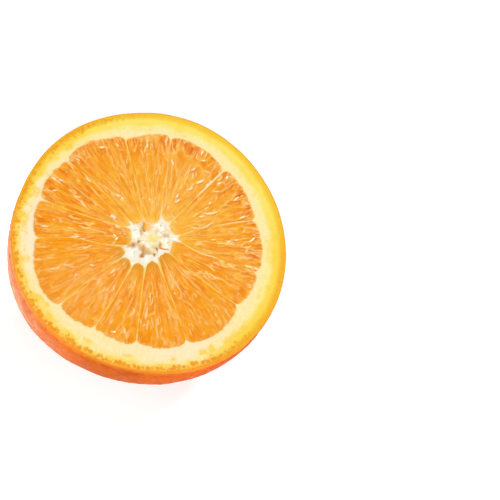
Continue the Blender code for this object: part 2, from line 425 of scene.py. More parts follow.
def build_skin():
    n = SKIN_GRID
    side = np.linspace(-1.0, 1.0, n + 1)
    a, b = np.meshgrid(side, side, indexing="ij")
    wide = np.abs(a) > np.abs(b)
    with np.errstate(divide="ignore", invalid="ignore"):
        out = np.where(wide, a, b)
        turn = np.where(wide, (math.pi / 4) * (b / a), math.pi / 2 - (math.pi / 4) * (a / b))
    turn = np.where((a == 0) & (b == 0), 0.0, turn)
    bearing = np.where(out < 0, turn + math.pi, turn)
    out = np.abs(out)
    sine = -1.0 + (math.sin(TOP_ANGLE) + 1.0) * out**2
    angle = np.arcsin(np.clip(sine, -1.0, 1.0))
    x, y, z = skin_surface(bearing, angle)
    points = np.stack([x.ravel(), y.ravel(), z.ravel()], axis=1)
    normal = np.stack(
        [
            (np.cos(angle) * np.cos(bearing)).ravel(),
            (np.cos(angle) * np.sin(bearing)).ravel(),
            np.sin(angle).ravel(),
        ],
        axis=1,
    )

    # Pits over the oil glands, scattered evenly with a little disorder.
    rng = np.random.RandomState(5)
    pits_wanted = 5600
    k = np.arange(pits_wanted) + 0.5
    sines = -1.0 + (math.sin(TOP_ANGLE) + 1.0) * k / pits_wanted
    turns = k * math.pi * (3.0 - math.sqrt(5.0))
    sines = np.clip(sines + rng.normal(0, 0.009, pits_wanted), -1.0, 1.0)
    turns = turns + rng.normal(0, 0.011, pits_wanted) / np.maximum(np.cos(np.arcsin(sines)), 0.1)
    sx, sy, sz = skin_surface(turns, np.arcsin(sines))
    tree = kdtree.KDTree(pits_wanted)
    for index in range(pits_wanted):
        tree.insert((sx[index], sy[index], sz[index]), index)
    tree.balance()
    size = 0.38 + 0.20 * rng.rand(pits_wanted)
    deep = 0.5 + 0.8 * rng.rand(pits_wanted) ** 2
    pits = np.zeros(len(points))
    for index in range(len(points)):
        total = 0.0
        for _, which, away in tree.find_n(points[index], 3):
            total += deep[which] * math.exp(-((away / size[which]) ** 2))
        pits[index] = total
    rim_fade = smooth((1.0 - out.ravel()) / 0.02)
    low_fade = smooth((points[:, 2] - 0.02) / 1.2) * 0.8 + 0.2
    lumps = fbm(points[:, 0] / 3.4 + points[:, 2] / 5.0 + 30, points[:, 1] / 3.4 + points[:, 2] / 4.0 + 30, 21, 3)
    push = (0.24 * (lumps - 0.5) - 0.23 * pits) * rim_fade * low_fade
    push = np.where(points[:, 2] < 0.02, np.minimum(push, 0.0), push)
    points = points + normal * push[:, None]
    points[:, 2] = np.maximum(points[:, 2], 0.0)
    colours = skin_colour(points[:, 0], points[:, 1], points[:, 2], np.clip(pits, 0, 1))

    columns = n + 1
    index = np.arange(columns * columns).reshape(columns, columns)
    quads = np.stack(
        [index[:-1, :-1], index[:-1, 1:], index[1:, 1:], index[1:, :-1]], axis=-1
    ).reshape(-1, 4)

    # The rim: round the sheet's edge, over the cut and down inside it.
    loop = np.concatenate([index[:-1, 0], index[-1, :-1], index[:0:-1, -1], index[0, :0:-1]])
    around = bearing.ravel()[loop]
    radius = rim_radius(around)
    steps = (
        (0.03, 0.0),
        (0.10, 0.03),
        (SKIN_THICK, 0.0),
        (SKIN_THICK, -DISC_THICK),
    )
    points[loop, 2] = CUT_Z - 0.10
    verts, tints = [points], [colours]
    rings = [loop]
    total = len(points)
    roundness = keyed(np.degrees(around), ROUND_KEYS)
    edge = mix(rgb(250, 184, 40), rgb(252, 158, 48), roundness)
    edge = mix(edge, rgb(242, 150, 24), 0.5 * fbm(around * 20.0, around * 0.0, 71, 2))
    for inset, height in steps:
        z = np.full(len(loop), CUT_Z + min(height, 0.0) - (0.03 if inset < 0.1 else 0.0))
        verts.append(
            np.stack([(radius - inset) * np.cos(around), (radius - inset) * np.sin(around), z], 1)
        )
        tints.append(edge)
        rings.append(np.arange(total, total + len(loop)))
        total += len(loop)
    for inner, outer in zip(rings, rings[1:]):
        after_i, after_o = np.roll(inner, -1), np.roll(outer, -1)
        quads = np.concatenate([quads, np.stack([inner, outer, after_o, after_i], 1)])
    verts.append(np.array([[0.0, 0.0, CUT_Z - DISC_THICK]]))
    tints.append(edge[:1])
    last = rings[-1]
    tris = np.stack([last, np.full(len(last), total), np.roll(last, -1)], 1)
    extra = np.concatenate([pits, np.zeros(total + 1 - len(pits))])
    return make_mesh(
        "skin", np.concatenate(verts), quads, tris, np.concatenate(tints), {"pit": extra}
    )


def skin_material():
    n = Nodes("waxy_skin")
    tint = n.attribute("tint")
    fine = n.noise(900.0, 4.0)
    freckle = n.voronoi(760.0)
    colour = n.blend(tint, (0.80, 0.24, 0.02), n.ramp(fine, 0.45, 0.75, 0.0, 0.25))
    colour = n.blend(colour, (0.55, 0.10, 0.005), n.ramp(freckle, 0.12, 0.34, 0.35, 0.0))
    height = n.math("ADD", n.math("MULTIPLY", fine, 0.6), n.ramp(freckle, 0.0, 0.45, 0.0, 1.0))
    n.set(
        Base_Color=colour,
        Roughness=n.ramp(n.noise(330.0, 3.0), 0.3, 0.7, 0.36, 0.50),
        Normal=n.bump(height, 0.45, 0.10),
        IOR=1.38,
        Specular_IOR_Level=0.03,
        Subsurface_Weight=0.12,
        Subsurface_Radius=(1.0, 0.35, 0.1),
        Subsurface_Scale=0.6 * MM,
    )
    return n.material


# --------------------------------------------------------------- the pith

WALL_OFFSETS = (0.0, 0.4, 0.75, 1.0)  # columns over half a wall, as shares of its half width
DROP = 0.03  # a pocket's side leans by this much
POCKET_COLUMNS = 60
POCKET_DEPTH = 1.2
CORE_ROWS = 26
POCKET_ROWS = 30
RING_ROWS = 34


# The core, in millimetres from its middle: (x, y, radius).
SNOWY_LUMPS = (
    (-4.4, -2.2, 1.3), (-5.0, -0.9, 1.0), (-6.5, -0.9, 0.7), (-2.3, -7.0, 1.3), (-1.1, -7.4, 0.9),
    (0.9, -7.1, 0.7), (-0.1, 4.4, 1.3), (-1.1, 3.9, 0.9), (-1.2, 5.3, 0.6), (-2.4, 0.3, 0.7),
    (2.9, 2.0, 1.0), (3.8, 1.5, 0.7), (-0.2, -2.8, 1.1), (-1.1, -2.6, 0.7), (4.6, 0.8, 0.6),
    (0.9, 2.7, 0.8), (5.3, 4.3, 0.6), (2.2, -5.6, 0.6),
)
TAN, AMBER, ORANGE = (220, 186, 126), (216, 154, 48), (246, 164, 16)
BROWN, OLIVE, PEACH = (216, 134, 18), (156, 116, 0), (250, 196, 110)
# Torn hollows, tinted with a tone that is partly the core's own brown and amber and partly painted shade in the hollow:
# (x, y, half length, half width, direction in degrees, depth, tone, strength)
CREVICES = (
    (-3.8, 1.6, 1.40, 0.45, 127, 0.7, ORANGE, 1.0), (-3.1, 0.4, 0.35, 0.25, 127, 0.5, OLIVE, 0.8),
    (-4.3, 1.5, 0.90, 0.14, 127, 0.3, OLIVE, 0.5), (-2.9, 2.3, 1.10, 0.55, 127, 0.3, PEACH, 0.9),
    (-2.45, -3.3, 0.45, 0.30, 80, 0.5, OLIVE, 0.9), (-3.0, -5.15, 0.80, 0.62, 100, 0.5, BROWN, 1.0),
    (-3.8, -6.1, 0.65, 0.40, 33, 0.4, TAN, 0.9), (0.1, -4.4, 1.25, 0.60, 127, 0.8, AMBER, 1.0),
    (1.3, -4.2, 0.90, 0.80, 127, 0.6, TAN, 0.9), (0.8, -6.2, 0.65, 0.45, 100, 0.4, BROWN, 1.0),
    (0.5, -6.6, 0.25, 0.20, 33, 0.4, OLIVE, 0.9), (3.2, -3.7, 0.55, 0.26, 80, 0.6, OLIVE, 1.0),
    (3.1, -1.9, 0.65, 0.22, 127, 0.5, OLIVE, 0.9), (3.8, -0.95, 0.45, 0.28, 33, 0.6, BROWN, 1.0),
    (4.8, -0.35, 0.90, 0.17, 25, 0.4, AMBER, 1.0), (3.0, -0.2, 0.85, 0.38, 127, 0.5, AMBER, 0.8),
    (4.3, 1.9, 0.35, 0.20, 60, 0.3, TAN, 0.7), (2.5, 3.3, 0.90, 0.50, 33, 0.3, TAN, 0.6),
    (-3.5, -0.6, 0.90, 0.35, 127, 0.4, TAN, 0.7), (-1.8, -4.0, 0.80, 0.35, 127, 0.4, TAN, 0.8),
    (-1.0, -4.6, 0.60, 0.30, 127, 0.4, AMBER, 0.5), (2.0, -1.8, 0.80, 0.50, 33, 0.3, TAN, 0.5),
)
# Bright curled edges of the membranes: (x, y) to (x, y)
CURLED = (
    ((3.7, -2.2), (4.0, -1.5)), ((4.0, -1.5), (4.6, -1.05)), ((4.6, -1.05), (5.9, -0.75)),
    ((0.9, -7.5), (2.0, -5.6)), ((2.0, -5.6), (3.0, -4.2)), ((5.3, 1.6), (5.6, 2.6)),
    ((5.6, 2.6), (6.3, 3.5)), ((-4.6, -6.4), (-5.6, -7.0)), ((1.6, -6.6), (2.9, -6.2)),
)


def core_relief(x, y):
    """The core's lumps and torn hollows: (height, colour), for points within about 10 mm."""
    r = np.hypot(x, y)
    lump = fbm(x / 1.3 + 20, y / 1.3 + 20, 41, 3)
    fine = fbm(x / 0.42 + 50, y / 0.42 + 50, 45, 3)
    wx = x + 0.6 * (fbm(x / 0.9 + 9, y / 0.9 + 9, 47, 2) - 0.5)
    wy = y + 0.6 * (fbm(x / 0.9 + 29, y / 0.9 + 29, 49, 2) - 0.5)
    height = -0.30 + 0.5 * (lump - 0.5) + 0.30 * (fine - 0.5)
    sand, cream, white = rgb(246, 210, 152), rgb(255, 238, 204), 1.05 * rgb(255, 253, 240)
    cream = mix(cream, 1.03 * rgb(255, 241, 222), smooth((r - 4.2) / 1.5))
    colour = mix(cream, sand, (0.80 - 0.50 * smooth((r - 4.2) / 1.5)) * smooth((0.50 - lump) / 0.12))
    colour = mix(colour, rgb(248, 214, 156), 0.45 * smooth((fine - 0.54) / 0.10))
    snow = np.zeros_like(x)
    for cx, cy, size in SNOWY_LUMPS:
        snow = np.maximum(snow, smooth((1.3 * size - np.hypot(wx - cx, wy - cy)) / (0.7 * size)))
    snow = np.maximum(snow, 0.35 * smooth((r - 5.0) / 1.5)) * smooth((fine - 0.24) / 0.18)
    colour = mix(colour, white, 0.97 * snow)
    height = height + 0.28 * snow
    away = np.hypot(wx - 0.05, wy + 0.07)
    colour = mix(colour, rgb(254, 246, 214), smooth((2.7 - away) / 1.0) * (0.9 - 0.5 * snow))
    colour = mix(colour, rgb(250, 231, 142), smooth((2.3 - away) / 1.4) * np.clip(0.95 + 0.9 * (fine - 0.5), 0, 1))
    height = height + 0.28 * smooth((2.8 - away) / 1.6)
    for cx, cy, long, wide, turn, depth, tone, strength in CREVICES:
        a = math.radians(turn)
        along = (wx - cx) * math.cos(a) + (wy - cy) * math.sin(a)
        across = -(wx - cx) * math.sin(a) + (wy - cy) * math.cos(a)
        hole = np.exp(-(((across / (1.3 * wide)) ** 2 + (along / (1.15 * long)) ** 2) ** 1.5))
        height = height - 0.45 * depth * hole
        # Each hollow is tinted with its tone, partly the core's own colour and partly painted shade.
        colour = mix(colour, rgb(*tone), np.clip(1.4 * hole, 0, 1) * np.clip(strength * (0.95 + 0.8 * (fine - 0.5)), 0, 1))
    for (ax, ay), (bx, by) in CURLED:
        dx, dy = bx - ax, by - ay
        t = np.clip(((wx - ax) * dx + (wy - ay) * dy) / (dx * dx + dy * dy), 0.0, 1.0)
        edge = np.exp(-((np.hypot(wx - ax - t * dx, wy - ay - t * dy) / 0.24) ** 2))
        height = mix(height, 0.0, edge)
        colour = mix(colour, rgb(255, 250, 230), edge)
    return np.minimum(height, 0.10), colour


GLAND_KEYS = ((0, 0.2), (80, 0.0), (125, 0.1), (150, 0.8), (185, 1.0), (210, 0.9), (235, 1.0), (330, 1.0), (350, 0.7), (356, 0.3))
ROUND_KEYS = ((0, 0.0), (150, 0.0), (190, 0.15), (222, 0.75), (240, 1.0), (325, 1.0), (350, 0.1))
YELLOW_KEYS = ((0, 4.4), (60, 4.6), (100, 4.6), (150, 4.2), (185, 3.6), (215, 2.6), (250, 2.7), (262, 3.3), (280, 2.4), (325, 2.4), (345, 4.2))


def scattered_glands():
    """The oil glands that the cut passes through: bearing, depth under the skin, half sizes."""
    rng = np.random.RandomState(12)
    rows = []
    bearing = 0.0
    while bearing < 360.0:
        strength = float(keyed(bearing, GLAND_KEYS))
        roundness = float(keyed(bearing, ROUND_KEYS))
        big = rng.rand() < 0.55
        half = (0.42 + 0.18 * rng.rand()) if big else (0.22 + 0.16 * rng.rand())
        half *= 0.62 + 0.38 * roundness
        tall = half * (1.0 + 1.6 * (1.0 - roundness) * rng.rand() + 0.1 * rng.rand())
        down = tall + 0.34 + (0.75 if big else 0.9) * rng.rand() ** 1.5 * (0.3 + 0.7 * roundness)
        rows.append((bearing, down, half, tall, strength * (0.65 + 0.35 * rng.rand())))
        if rng.rand() < 0.65:
            small = 0.16 + 0.16 * rng.rand()
            rows.append(
                (
                    bearing + rng.normal(0, 1.0),
                    0.45 + 1.9 * rng.rand(),
                    small,
                    small * (1.0 + 1.2 * (1.0 - roundness)),
                    strength * (0.4 + 0.5 * rng.rand()),
                )
            )
        bearing += (1.7 * half + 0.1 + 1.2 * rng.rand() ** 2) / 38.5 * 57.3
    return rows


def ring_relief(x, y, r, bearing, edge):
    """The cut rind outside the segments: (height, colour). edge is the skin's radius there."""
    degrees = np.degrees(bearing)
    arc = bearing * 38.0
    depth = edge - r
    gland = np.zeros_like(r)
    shadow = np.zeros_like(r)
    depth_flat, degrees_flat = depth.ravel(), np.mod(degrees, 360.0).ravel()
    order = np.argsort(degrees_flat)
    ordered = degrees_flat[order]
    for at, down, half_wide, half_tall, strength in scattered_glands():
        reach = (half_wide * 2.4) / 38.0 * 57.3
        for turn in (-360.0, 0.0, 360.0):
            lo, hi = np.searchsorted(ordered, [at + turn - reach, at + turn + reach])
            if lo == hi:
                continue
            pick = order[lo:hi]
            across = (degrees_flat[pick] - at - turn) / 57.3 * 38.0 / half_wide
            down_by = (depth_flat[pick] - down) / half_tall
            reach_2 = across**2 + down_by**2
            shape = strength * smooth((1.3 - np.sqrt(reach_2)) / 0.55)
            gland[pick] = np.maximum(gland[pick], shape)
            shadow[pick] = np.maximum(shadow[pick], strength * np.exp(-(((reach_2 - 0.8) / 0.5) ** 2)))

    roundness = keyed(degrees, ROUND_KEYS)
    streak = fbm(arc / 0.55, depth / 2.0 + 5, 61, 3)
    ragged = fbm(arc / 0.35 + 70, depth / 0.7 + 15, 75, 2)
    patch = fbm(arc / 3.1 + 9, depth / 1.9 + 9, 64, 3)
    blot = fbm(arc / 1.25 + 39, depth / 1.4 + 39, 73, 3)
    speck = fbm(x / 0.42 + 80, y / 0.42 + 80, 67, 3)
    pepper = fbm(arc / 0.36 + 120, depth / 0.55 + 60, 77, 2)
    strength = keyed(degrees, GLAND_KEYS)
    yellow_to = keyed(degrees, YELLOW_KEYS) + (1.3 + 1.6 * roundness) * (patch - 0.5) + 0.4 * (streak - 0.5)
    yellow_to = np.maximum(yellow_to + 1.4 * roundness * (blot - 0.5), 1.0)

    sunny = smooth((np.cos(bearing - math.radians(98.0)) - 0.3) / 0.5)
    east = smooth((np.cos(bearing - math.radians(35.0)) - 0.6) / 0.35)
    golden = mix(rgb(250, 184, 34), rgb(253, 196, 72), roundness)
    golden = mix(golden, rgb(253, 206, 44), 0.8 * sunny)
    golden = mix(golden, mix(rgb(245, 174, 20), rgb(240, 162, 14), roundness), smooth((blot + 0.5 * (ragged - 0.5) - 0.44) / 0.16) * strength * (0.95 - 0.6 * roundness))
    yellow = mix(rgb(253, 214, 66), rgb(254, 218, 104), roundness)
    yellow = mix(yellow, rgb(254, 231, 104), 0.9 * sunny)
    yellow = mix(yellow, rgb(254, 219, 80), 0.8 * east * (1.0 - sunny))
    cream = mix(rgb(253, 233, 144), rgb(254, 231, 148), roundness)
    cream = mix(cream, rgb(254, 238, 150), 0.8 * sunny)
    cream = mix(cream, rgb(254, 239, 146), 0.8 * east * (1.0 - sunny))
    pale = mix(rgb(255, 235, 182), rgb(255, 236, 190), roundness)
    west = smooth((np.cos(bearing - math.radians(212.0)) - 0.80) / 0.15)
    south = smooth((np.cos(bearing - math.radians(268.0)) - 0.70) / 0.25)
    cream, pale = mix(cream, rgb(254, 236, 184), 0.8 * west), mix(pale, rgb(255, 240, 208), 0.8 * west)
    cream, pale = mix(cream, rgb(254, 229, 134), 0.8 * south), mix(pale, rgb(255, 233, 164), 0.8 * south)
    colour = mix(golden, yellow, smooth((depth - 0.22 * yellow_to) / (0.42 * yellow_to)))
    colour = mix(colour, cream, smooth((depth - 0.72 * yellow_to) / (0.45 * yellow_to)))
    colour = mix(colour, pale, smooth((depth - yellow_to - 0.4) / 1.8) * (0.55 + 0.45 * roundness))
    colour = mix(colour, rgb(255, 243, 218), 0.35 * smooth((speck - 0.52) / 0.16) * smooth((depth - yellow_to + 0.4) / 1.2))
    colour = mix(colour, rgb(250, 220, 150), 0.25 * smooth((0.46 - speck) / 0.16) * smooth((depth - yellow_to + 0.4) / 1.2))
    mottled = smooth((patch + 0.3 * (ragged - 0.5) - 0.50) / 0.26) * smooth((depth - 0.6) / 0.8) * smooth((yellow_to + 2.0 - depth) / 1.2)
    mottled = mottled * (1.0 - 0.65 * np.maximum(sunny, east))
    colour = mix(colour, mix(rgb(252, 206, 52), rgb(253, 210, 70), roundness), 0.75 * mottled)
    warm = mix(rgb(250, 182, 20), rgb(252, 182, 36), roundness)
    colour = mix(colour, warm, 0.45 * np.clip(shadow, 0, 1))
    peppered = smooth((pepper - 0.56) / 0.08) * strength * smooth((2.6 - depth) / 1.2) * smooth((depth - 0.35) / 0.3)
    colour = mix(colour, mix(rgb(232, 158, 6), rgb(244, 166, 20), roundness), (0.55 - 0.15 * roundness) * peppered)
    gland = gland * mix(smooth((ragged - 0.25) / 0.3), 1.0, roundness)
    colour = mix(colour, mix(rgb(240, 156, 2), rgb(248, 158, 4), roundness), np.clip(gland * 1.15, 0, 1) * mix(0.85, 0.95, roundness))
    colour = mix(colour, rgb(234, 132, 0), 0.65 * roundness * np.clip(shadow, 0, 1) * smooth((gland - 0.15) / 0.3))
    rim_tone = mix(rgb(250, 180, 36), rgb(251, 158, 46), roundness)
    colour = mix(colour, rim_tone, smooth((0.75 - depth) / 0.5) * 0.8)
    height = 0.05 * (speck - 0.5) + 0.05 * (patch - 0.5) - 0.04 * gland
    return height * smooth((depth - SKIN_THICK) / 0.3) - 0.015 * (depth < SKIN_THICK + 0.02), colour


def wall_relief(row, r, offset, outer_end, inner_end):
    """A segment's wall: (height, colour). offset runs over the wall from -1 to 1."""
    along = fbm(r / 2.6 + 17.0 * row, 0 * r + row, 81, 3)
    fine = fbm(r / 0.6 + 31.0 * row, offset + row, 84, 2)
    height = -0.05 + 0.08 * (along - 0.5) + 0.05 * (fine - 0.5) - 0.03 * offset**2
    thin, light = rgb(255, 182, 52), rgb(255, 202, 92)
    colour = mix(thin, light, smooth((along - 0.38) / 0.25))
    colour = mix(colour, rgb(255, 214, 120), 0.45 * smooth((fine - 0.5) / 0.2))
    bright = 0.0
    if row == 1:
        bright = 0.45 * smooth((r - 10.5) / 1.5) * smooth((20.0 - r) / 3.0)
    if row == 2:
        bright = smooth((r - 19.0) / 2.0) * 0.35
    if row == 3:
        bright = smooth((r - 16.0) / 6.0) * 0.70
    if row in (3, 4):
        bright = np.maximum(bright, smooth((15.0 - r) / 5.0) * 0.4)
    colour = mix(colour, rgb(255, 240, 200), bright)
    root = WALL_ROOTS[row] / 0.45
    colour = mix(colour, rgb(255, 218, 116), root * smooth((20.0 - r) / 9.0) * (1.0 - 0.3 * offset**2))
    colour = mix(colour, rgb(255, 232, 176), smooth((r - outer_end + 1.3) / 1.4))
    colour = mix(colour, rgb(255, 224, 138), smooth((inner_end + 0.9 - r) / 1.4))
    return height, colour


def build_pith():
    side = len(WALL_OFFSETS)
    per = 2 * side - 1 + 2 + POCKET_COLUMNS
    columns = per * COUNT
    seg = np.repeat(np.arange(COUNT), per)
    slot = np.tile(np.arange(per), COUNT)
    # kind: 0 on the wall that opens the segment, 1 in the pocket, 2 on the wall that closes it
    kind = np.where(slot < side, 0, np.where(slot < side + 2 + POCKET_COLUMNS, 1, 2))
    share = np.clip((slot - side) / (POCKET_COLUMNS + 1.0), 0.0, 1.0)
    offset = np.zeros(columns)
    opening = kind == 0
    offset[opening] = np.array(WALL_OFFSETS)[slot[opening]]
    closing = kind == 2
    offset[closing] = np.array(WALL_OFFSETS[:0:-1])[slot[closing] - side - 2 - POCKET_COLUMNS]

    inner = np.zeros(columns)
    outer = np.zeros(columns)
    for k in range(COUNT):
        here = seg == k
        pocket = here & (kind == 1)
        inner[pocket] = inner_edge(k, share[pocket])
        outer[pocket] = outer_edge(k, share[pocket])
    for k in range(COUNT):
        before = (k - 1) % COUNT
        i_in = (inner_edge(before, np.array([1.0]))[0], inner_edge(k, np.array([0.0]))[0])
        i_out = (outer_edge(before, np.array([1.0]))[0], outer_edge(k, np.array([0.0]))[0])
        for where, sign in (((seg == k) & (kind == 0), 1.0), ((seg == before) & (kind == 2), -1.0)):
            t = 0.5 + 0.5 * sign * offset[where]
            inner[where] = i_in[0] + (i_in[1] - i_in[0]) * t
            outer[where] = i_out[0] + (i_out[1] - i_out[0]) * t

    def bearings(radius):
        out = np.zeros(radius.shape)
        for k in range(COUNT):
            r = np.maximum(radius, 4.5)
            here, after = wall_bearing(k, radius), wall_bearing(k + 1, radius)
            half_here, half_after = wall_half(k, r), wall_half(k + 1, r)
            w = (seg == k) & (kind == 0)
            out[w] = here[w] + offset[w] * half_here[w] / r[w]
            w = (seg == k) & (kind == 2)
            out[w] = after[w] - offset[w] * half_after[w] / r[w]
            w = (seg == k) & (kind == 1)
            a = here[w] + (half_here[w] + DROP) / r[w]
            b = after[w] - (half_after[w] + DROP) / r[w]
            out[w] = a + (b - a) * share[w]
        return out

    even = np.zeros(columns)
    for k in range(COUNT):
        w = seg == k
        a = wall_bearing(k, np.array([32.0]))[0]
        b = wall_bearing(k + 1, np.array([32.0]))[0]
        even[w] = a + (b - a) * slot[w] / per

    points, tints = [], []
    mean_inner = inner.mean()

    def add(radius, bearing, height, colour):
        points.append(
            np.stack([radius * np.cos(bearing), radius * np.sin(bearing), CUT_Z + height + 0.0 * radius], 1)
        )
        tints.append(colour)

    def core_part(radius, bearing):
        x, y = radius * np.cos(bearing), radius * np.sin(bearing)
        return core_relief(x, y)

    def wall_part(radius, bearing):
        height, colour = np.zeros(columns), np.zeros((columns, 3))
        for k in range(COUNT):
            for w, sign, wall in (((seg == k) & (kind == 0), 1.0, k), ((seg == k) & (kind == 2), -1.0, (k + 1) % COUNT)):
                h, c = wall_relief(wall, radius[w], sign * offset[w], outer[w], inner[w])
                height[w], colour[w] = h, c
            w = (seg == k) & (kind == 1)
            height[w], colour[w] = -0.12, rgb(255, 214, 130)
        near_core = smooth((inner - 0.1 - radius) / 1.2)
        ch, cc = core_part(radius, bearing)
        return mix(height, ch, near_core), mix(colour, cc, near_core)

    # core
    for step in range(1, CORE_ROWS + 1):
        t = step / CORE_ROWS
        radius = t * (mean_inner + (inner - mean_inner) * t**2)
        bearing = bearings(radius)
        height, colour = core_part(radius, bearing)
        lip = smooth((radius - inner + 0.9) / 0.75) * (kind == 1)
        bright = np.array(TIP_LIPS)[seg]
        height = mix(height, -0.02, lip * bright)
        colour = mix(colour, mix(rgb(254, 208, 118), rgb(255, 246, 224), smooth(1.4 * bright - 0.3)), 0.85 * lip)
        add(radius, bearing, height, colour)
    # pockets and walls
    for step in range(POCKET_ROWS):
        t = step / (POCKET_ROWS - 1)
        radius = inner + DROP + (outer - inner - 2 * DROP) * t
        bearing = bearings(radius)
        height, colour = wall_part(radius, bearing)
        floor = kind == 1
        height = np.where(floor, -POCKET_DEPTH, height)
        colour[floor] = rgb(255, 200, 110)
        add(radius, bearing, height, colour)
    # rind
    edge = rim_radius(even)
    start = 0.0
    for step in range(RING_ROWS + 1):
        t = step / RING_ROWS
        t = 1.35 * t - 0.35 * t * t
        end = edge - SKIN_THICK + 0.05
        radius = outer + (end - outer) * t
        turn = smooth((radius - outer - 0.2) / 2.4)
        bearing = bearings(radius)
        bearing = bearing + (even - bearing) * turn
        edge_here = rim_radius(bearing)
        radius = outer + (edge_here - SKIN_THICK + 0.05 - outer) * t
        x, y = radius * np.cos(bearing), radius * np.sin(bearing)
        height, colour = ring_relief(x, y, radius, bearing, edge_here)
        lip = np.exp(-(radius - outer) / 0.28)
        height = height - 0.06 * lip
        colour = mix(colour, rgb(255, 214, 134), 0.5 * lip)
        wh, wc = wall_part(np.minimum(radius, outer), bearing)
        on_wall = (kind != 1) * np.exp(-((radius - outer) / 0.5) ** 2)
        height = mix(height, wh, on_wall)
        colour = mix(colour, wc, on_wall)
        add(radius, bearing, height, colour)
    # the hidden side and bottom
    add(edge_here - SKIN_THICK + 0.05, bearing, -DISC_THICK + 0.02, colour)

    rows = len(points)
    verts = np.concatenate(points)
    colours = np.concatenate(tints)
    quads = grid_quads(rows, columns, True)
    centre_h, centre_c = core_relief(np.array([0.0]), np.array([0.0]))
    verts = np.concatenate(
        [verts, [[0.0, 0.0, CUT_Z + centre_h[0]], [0.0, 0.0, CUT_Z - DISC_THICK + 0.02]]]
    )
    colours = np.concatenate([colours, centre_c, centre_c])
    first = np.arange(columns)
    last = (rows - 1) * columns + first
    top, bottom = rows * columns, rows * columns + 1
    tris = np.concatenate(
        [
            np.stack([np.full(columns, top), first, np.roll(first, -1)], 1),
            np.stack([last, np.full(columns, bottom), np.roll(last, -1)], 1),
        ]
    )
    return make_mesh("pith", verts, quads, tris, colours)


def pith_material():
    n = Nodes("spongy_pith")
    tint = n.attribute("tint")
    sponge = n.noise(1500.0, 5.0)
    cells = n.voronoi(2300.0)
    colour = n.blend(tint, (0.82, 0.76, 0.52), n.ramp(sponge, 0.52, 0.75, 0.0, 0.12))
    colour = n.blend(colour, (0.93, 0.76, 0.42), n.ramp(cells, 0.05, 0.30, 0.08, 0.0), "MULTIPLY")
    height = n.math("ADD", sponge, n.math("MULTIPLY", cells, 0.5))
    n.set(
        Base_Color=colour,
        Roughness=n.ramp(sponge, 0.3, 0.7, 0.42, 0.66),
        Normal=n.bump(height, 0.30, 0.05),
        IOR=1.35,
        Specular_IOR_Level=0.2,
        Subsurface_Weight=0.15,
        Subsurface_Radius=(1.0, 0.8, 0.5),
        Subsurface_Scale=0.25 * MM,
    )
    return n.material


# -------------------------------------------------------------- the flesh

FLESH_STEP = (0.14, 0.155)  # the mesh's step across and along a segment
FLESH_BED = 0.10  # the flesh's edge reaches this far into the pith
# Small frayed spots on the flesh, painted near-white, partly torn white bits and partly painted glints: (x, y, half
# length, half width).
FRAYED_AND_GLINTS = ((-0.1, 7.7, 0.5, 0.5), (0.4, 9.3, 0.7, 0.4), (1.6, 6.8, 0.8, 0.6), (-6.9, -4.6, 0.9, 0.4), (-7.2, -0.4, 0.6, 0.6), (0.9, 8.8, 1.3, 0.8), (3.9, 5.6, 0.6, 0.5), (-6.1, -4.2, 0.8, 0.4), (-7.6, -3.6, 0.5, 0.3), (-14.5, 4.3, 1.1, 0.45), (-7.2, 9.2, 0.8, 0.35), (-2.4, 10.9, 0.6, 0.4), (-12.4, -2.0, 1.0, 0.5), (-9.4, -3.6, 1.4, 0.4))


# Painted wet glints, highlights painted into the flesh's colour as near-white streaks: (x, y, half length, half width,
# direction in degrees).
GLINTS = (
    (9.7, -27.3, 0.75, 0.40, 139), (-15.7, -25.0, 1.05, 0.34, 48), (8.7, 17.4, 1.5, 0.35, 47),
    (9.3, 11.9, 2.4, 0.24, 52), (7.5, -29.5, 0.50, 0.36, 35), (0.5, 23.5, 0.9, 0.34, 65),
    (-1.1, 14.3, 0.7, 0.30, 70), (-17.1, -14.0, 0.85, 0.28, 45), (-2.5, 10.9, 0.5, 0.32, 22),
    (22.9, 18.7, 0.7, 0.27, 81), (-25.2, -16.5, 0.65, 0.27, 36), (7.4, 8.8, 1.0, 0.24, 63),
    (-9.2, 23.4, 0.6, 0.26, 142), (16.7, 22.7, 0.6, 0.25, 61), (-27.6, 13.6, 0.65, 0.34, 51),
    (5.3, 27.1, 0.6, 0.26, 62), (0.7, 9.3, 0.45, 0.33, 158), (-7.8, -6.7, 0.45, 0.30, 84),
    (-0.3, 19.8, 0.65, 0.26, 57), (-13.8, -22.0, 0.8, 0.22, 41), (-30.4, -2.5, 0.45, 0.24, 20),
    (2.8, 24.2, 0.5, 0.30, 86), (7.2, 14.9, 0.55, 0.28, 44), (19.2, 15.4, 0.45, 0.26, 46),
    (-10.0, -22.7, 0.55, 0.26, 78), (-2.1, 15.4, 0.5, 0.30, 90), (13.1, -22.7, 0.4, 0.24, 87),
    (-3.2, 25.6, 0.5, 0.24, 75), (-29.6, -6.2, 0.5, 0.20, 41), (17.7, 13.3, 0.5, 0.26, 62),
    (-8.5, -17.6, 0.45, 0.27, 23), (-15.0, -12.9, 0.6, 0.20, 40), (6.2, 24.3, 0.65, 0.20, 41),
    (5.9, 30.2, 0.4, 0.28, 91), (13.9, 11.1, 0.5, 0.20, 40), (-2.5, 29.9, 0.5, 0.20, 41),
    (-12.4, -21.5, 0.6, 0.20, 40), (6.7, 19.8, 0.4, 0.24, 81), (25.2, -19.7, 0.5, 0.24, 57),
    (2.9, 25.5, 0.55, 0.24, 107), (-8.8, -6.3, 0.4, 0.24, 172), (16.2, 11.4, 0.5, 0.20, 40),
)


